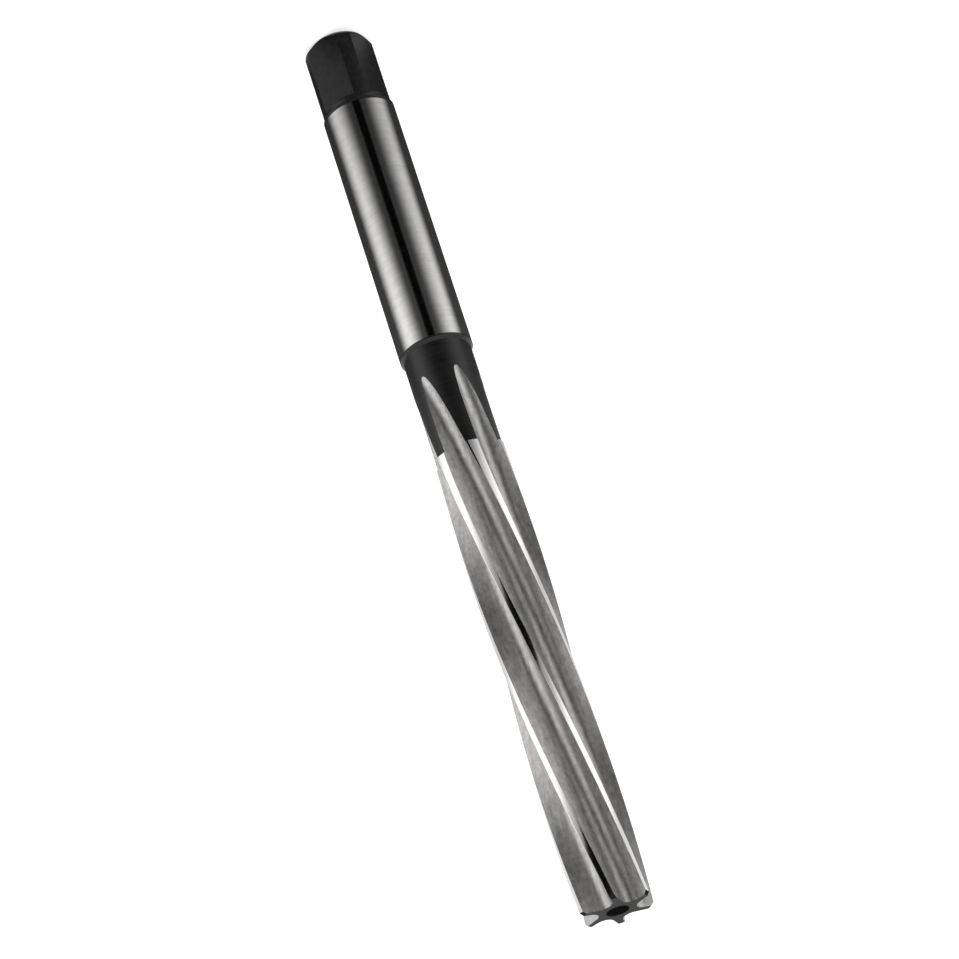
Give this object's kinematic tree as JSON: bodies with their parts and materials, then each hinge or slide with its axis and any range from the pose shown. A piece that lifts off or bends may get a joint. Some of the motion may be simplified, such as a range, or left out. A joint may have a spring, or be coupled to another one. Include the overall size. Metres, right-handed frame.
{
  "type": "machine reamer",
  "caption": "Straight-shank machine reamer: black driving square, ground cylindrical shank, black neck and left-hand helical flutes with narrow ground lands.",
  "frame": {"origin": "centre of the drive end's face, which the reamer stands on", "axes": "+Z along the axis from the drive end to the cutting tip; the driving square's flats face X and Y"},
  "size_m": [0.01, 0.01, 0.133],
  "materials": {
    "tool_steel": "ground bright on the shank, lands and flutes; black oxide on the neck and driving end"
  },
  "bodies": {
    "root": {"reamer": "tool_steel"}
  },
  "joints": []
}
